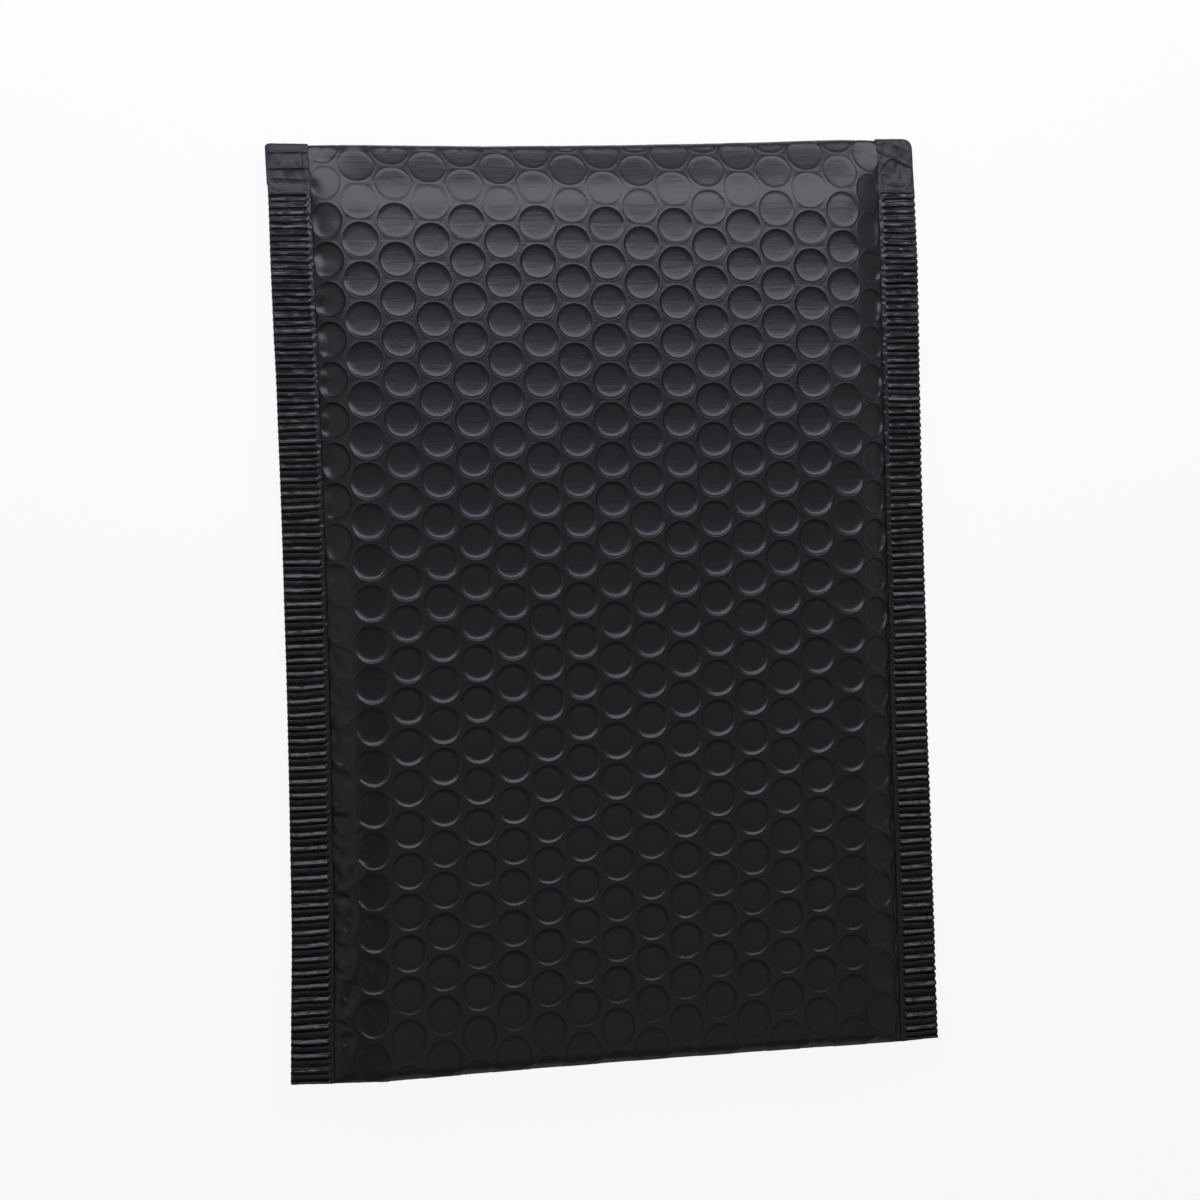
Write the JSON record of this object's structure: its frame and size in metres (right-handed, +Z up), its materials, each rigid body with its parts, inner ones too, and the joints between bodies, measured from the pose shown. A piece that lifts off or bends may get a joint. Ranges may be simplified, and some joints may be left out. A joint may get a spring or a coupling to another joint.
{
  "type": "padded envelope",
  "caption": "Closed padded envelope in matte black film: a bubble-lined pillow with round dished bubbles, crimped seals down both sides, a sharp bottom fold and its flap turned under.",
  "frame": {"origin": "on the surface that the envelope lies on, under the middle of its overall length and width", "axes": "+Z up out of the plain face, +Y towards the folded flap end, +X to the right when the face is read with the flap end at the top"},
  "size_m": [0.2, 0.275, 0.014],
  "materials": {
    "black_film": "matte black co-extruded film with a faint cool sheen"
  },
  "bodies": {
    "root": {"padded_envelope": "black_film"}
  },
  "joints": []
}
